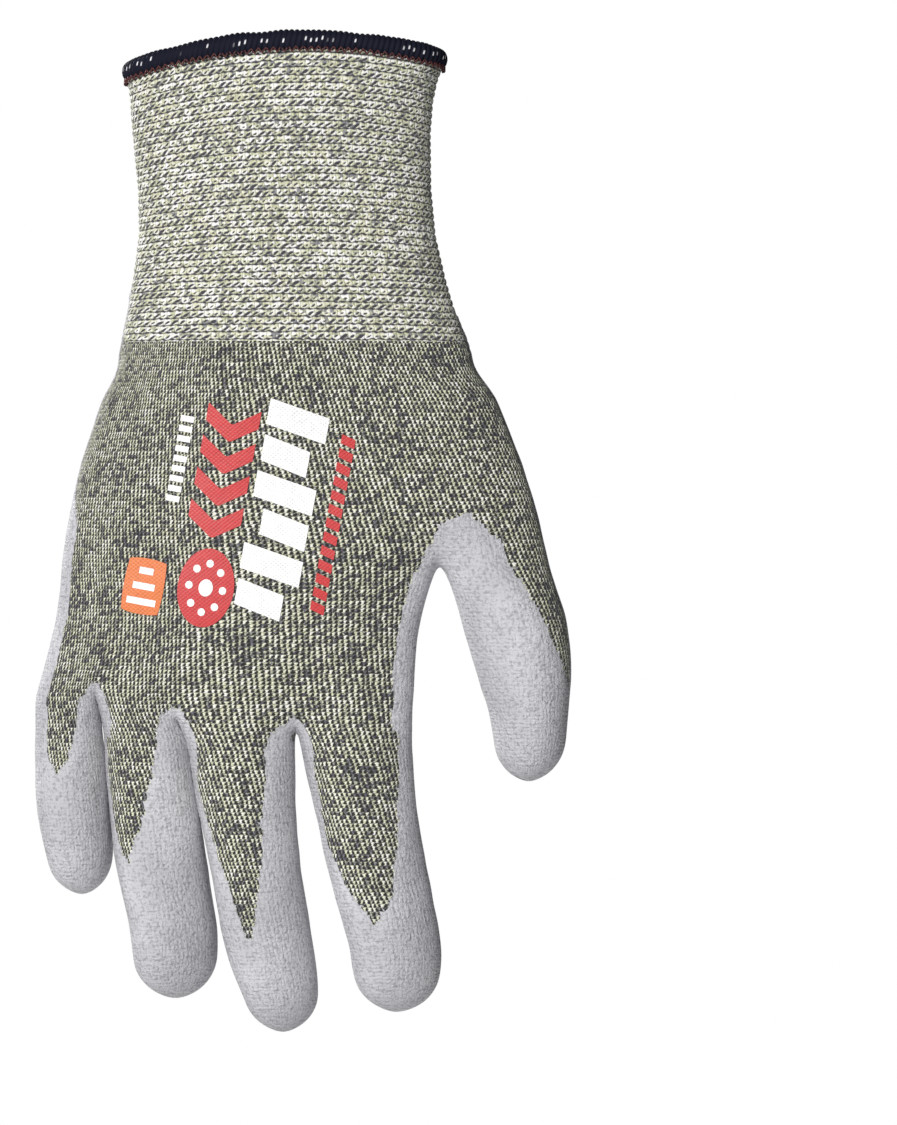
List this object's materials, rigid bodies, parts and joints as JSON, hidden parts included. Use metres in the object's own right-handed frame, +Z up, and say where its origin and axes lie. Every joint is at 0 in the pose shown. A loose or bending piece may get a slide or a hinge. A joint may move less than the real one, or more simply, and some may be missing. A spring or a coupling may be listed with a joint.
{
  "type": "cut-resistant work glove",
  "caption": "Right-hand seamless knit work glove with a dipped palm and fingertips, long ribbed elastic cuff and overlocked hem; wrist, fingers and thumb bend.",
  "frame": {"origin": "middle of the cuff opening, where the hand goes in", "axes": "+Z up the forearm, out of the cuff; +X to the thumb side; +Y to the palm side"},
  "size_m": [0.1354, 0.0342, 0.2544],
  "materials": {
    "cuff_knit": "ribbed knit of pale lime and white yarn flecked with dark grey",
    "hand_knit": "fine plain knit, heather mix of lime, white and dark grey",
    "palm_coating": "thin matt light grey polyurethane dip with a fine knit grain",
    "elastic_yarn": "white covered elastic yarn",
    "hem_yarn": "navy-black bulked overlock yarn",
    "needle_thread": "red-brown sewing thread",
    "white_print": "matt white heat-transfer print",
    "red_print": "matt red heat-transfer print",
    "orange_print": "matt orange heat-transfer print"
  },
  "bodies": {
    "cuff": {"cuff_knit": "cuff_knit", "coating_wrist": "palm_coating", "cuff_elastic_yarn": "elastic_yarn", "hem_overlock": "hem_yarn", "hem_needle_thread": "needle_thread"},
    "hand": {"hand_knit": "hand_knit", "coating_palm": "palm_coating", "print_white_bars": "white_print", "print_red_bars": "red_print", "print_round_mark": "red_print", "print_level_badge": "orange_print", "print_white_rule": "white_print", "print_red_rule": "red_print"},
    "little_lower": {"little_knit_lower": "hand_knit", "little_coating_lower": "palm_coating"},
    "little_upper": {"little_knit_upper": "hand_knit", "little_coating_upper": "palm_coating"},
    "ring_lower": {"ring_knit_lower": "hand_knit", "ring_coating_lower": "palm_coating"},
    "ring_upper": {"ring_knit_upper": "hand_knit", "ring_coating_upper": "palm_coating"},
    "middle_lower": {"middle_knit_lower": "hand_knit", "middle_coating_lower": "palm_coating"},
    "middle_upper": {"middle_knit_upper": "hand_knit", "middle_coating_upper": "palm_coating"},
    "index_lower": {"index_knit_lower": "hand_knit", "index_coating_lower": "palm_coating"},
    "index_upper": {"index_knit_upper": "hand_knit", "index_coating_upper": "palm_coating"},
    "thumb_lower": {"thumb_knit_lower": "hand_knit", "thumb_coating_lower": "palm_coating"},
    "thumb_upper": {"thumb_knit_upper": "hand_knit", "thumb_coating_upper": "palm_coating"}
  },
  "joints": [
    {"name": "wrist_bend", "type": "hinge", "parent": "cuff", "child": "hand", "pos_m": [0, 0, -0.076], "axis": [1, 0, 0], "range_deg": [-40, 50], "stiffness_Nm_per_rad": 0.05},
    {"name": "little_knuckle_bend", "type": "hinge", "parent": "hand", "child": "little_lower", "pos_m": [-0.05448, 0.00079, -0.174], "axis": [1, 0, 0], "range_deg": [-10, 70], "stiffness_Nm_per_rad": 0.01},
    {"name": "little_middle_bend", "type": "hinge", "parent": "little_lower", "child": "little_upper", "pos_m": [-0.05324, 0.00263, -0.191], "axis": [1, 0, 0], "range_deg": [-5, 75], "stiffness_Nm_per_rad": 0.006},
    {"name": "ring_knuckle_bend", "type": "hinge", "parent": "hand", "child": "ring_lower", "pos_m": [-0.03406, 0.00068, -0.181], "axis": [1, 0, 0], "range_deg": [-10, 70], "stiffness_Nm_per_rad": 0.01},
    {"name": "ring_middle_bend", "type": "hinge", "parent": "ring_lower", "child": "ring_upper", "pos_m": [-0.03088, 0.0022, -0.204], "axis": [1, 0, 0], "range_deg": [-5, 75], "stiffness_Nm_per_rad": 0.006},
    {"name": "middle_knuckle_bend", "type": "hinge", "parent": "hand", "child": "middle_lower", "pos_m": [-0.00973, 0.0006, -0.184], "axis": [1, 0, 0], "range_deg": [-10, 70], "stiffness_Nm_per_rad": 0.01},
    {"name": "middle_middle_bend", "type": "hinge", "parent": "middle_lower", "child": "middle_upper", "pos_m": [-0.00591, 0.00218, -0.211], "axis": [1, 0, 0], "range_deg": [-5, 75], "stiffness_Nm_per_rad": 0.006},
    {"name": "index_knuckle_bend", "type": "hinge", "parent": "hand", "child": "index_lower", "pos_m": [0.01921, 0.00064, -0.183], "axis": [1, 0, 0], "range_deg": [-10, 70], "stiffness_Nm_per_rad": 0.01},
    {"name": "index_middle_bend", "type": "hinge", "parent": "index_lower", "child": "index_upper", "pos_m": [0.02353, 0.00224, -0.208], "axis": [1, 0, 0], "range_deg": [-5, 75], "stiffness_Nm_per_rad": 0.006},
    {"name": "thumb_base_bend", "type": "hinge", "parent": "hand", "child": "thumb_lower", "pos_m": [0.0582, 0.00085, -0.143], "axis": [0.9397, 0.342, 0], "range_deg": [-10, 30], "stiffness_Nm_per_rad": 0.01},
    {"name": "thumb_tip_bend", "type": "hinge", "parent": "thumb_lower", "child": "thumb_upper", "pos_m": [0.06119, 0.00296, -0.163], "axis": [0.9397, 0.342, 0], "range_deg": [-5, 45], "stiffness_Nm_per_rad": 0.006}
  ]
}
